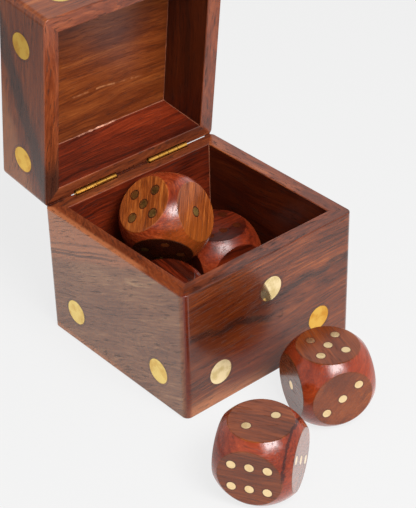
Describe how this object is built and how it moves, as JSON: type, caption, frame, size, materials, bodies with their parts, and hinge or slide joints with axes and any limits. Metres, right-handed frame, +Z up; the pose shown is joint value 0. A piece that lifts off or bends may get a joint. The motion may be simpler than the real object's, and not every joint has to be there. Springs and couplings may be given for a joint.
{
  "type": "dice box",
  "caption": "Square wooden dice box made like a large die, with brass discs, a hinged lid standing open, and rounded wooden dice with brass pips in it and beside it.",
  "frame": {"origin": "centre of the underside of the box, on the surface that it and the two loose dice stand on", "axes": "+X to the right along the front, +Y towards the hinges, +Z up; the rest pose has the lid open on its stop"},
  "size_m": [0.1023, 0.1667, 0.1363],
  "materials": {
    "box_wood": "oiled, semi-gloss reddish-brown hardwood",
    "dice_wood": "polished reddish-brown hardwood",
    "disc_brass": "ground flush, satin",
    "pip_brass": "ground flush, slightly tarnished",
    "hinge_brass": "polished"
  },
  "bodies": {
    "box": {"body_back_inlays": "disc_brass", "body_back_wall": "box_wood", "body_base": "box_wood", "body_front_inlays": "disc_brass", "body_front_wall": "box_wood", "body_hinge_brads": "hinge_brass", "body_left_inlays": "disc_brass", "body_left_wall": "box_wood", "body_right_inlays": "disc_brass", "body_right_wall": "box_wood", "hinge_left_body_leaf": "hinge_brass", "hinge_left_pin": "hinge_brass", "hinge_right_body_leaf": "hinge_brass", "hinge_right_pin": "hinge_brass"},
    "lid": {"hinge_left_lid_leaf": "hinge_brass", "hinge_right_lid_leaf": "hinge_brass", "lid_back_inlays": "disc_brass", "lid_back_wall": "box_wood", "lid_front_inlays": "disc_brass", "lid_front_wall": "box_wood", "lid_hinge_brads": "hinge_brass", "lid_left_inlays": "disc_brass", "lid_left_wall": "box_wood", "lid_right_inlays": "disc_brass", "lid_right_wall": "box_wood", "lid_top": "box_wood", "lid_top_inlays": "disc_brass"},
    "die_1": {"die_1": "dice_wood", "die_1_pips": "pip_brass"},
    "die_2": {"die_2": "dice_wood", "die_2_pips": "pip_brass"},
    "die_3": {"die_3": "dice_wood", "die_3_pips": "pip_brass"},
    "die_4": {"die_4": "dice_wood", "die_4_pips": "pip_brass"},
    "die_5": {"die_5": "dice_wood", "die_5_pips": "pip_brass"}
  },
  "joints": [
    {"name": "lid_hinge", "type": "hinge", "parent": "box", "child": "lid", "pos_m": [0, 0.0391, 0.05465], "axis": [-1, 0, 0], "range_deg": [-83.2, 0]},
    {"name": "die_1_lift", "type": "slide", "parent": "box", "child": "die_1", "axis": [0, 0, 1], "range_m": [0, 0.05]},
    {"name": "die_2_slide", "type": "slide", "parent": "box", "child": "die_2", "axis": [0, -1, 0], "range_m": [0, 0.025]},
    {"name": "die_3_slide", "type": "slide", "parent": "box", "child": "die_3", "axis": [0, -1, 0], "range_m": [0, 0.014]},
    {"name": "die_4_lift", "type": "slide", "parent": "box", "child": "die_4", "axis": [0, 0, 1], "range_m": [0, 0.05]},
    {"name": "die_5_lift", "type": "slide", "parent": "box", "child": "die_5", "axis": [0, 0, 1], "range_m": [0, 0.05]}
  ]
}
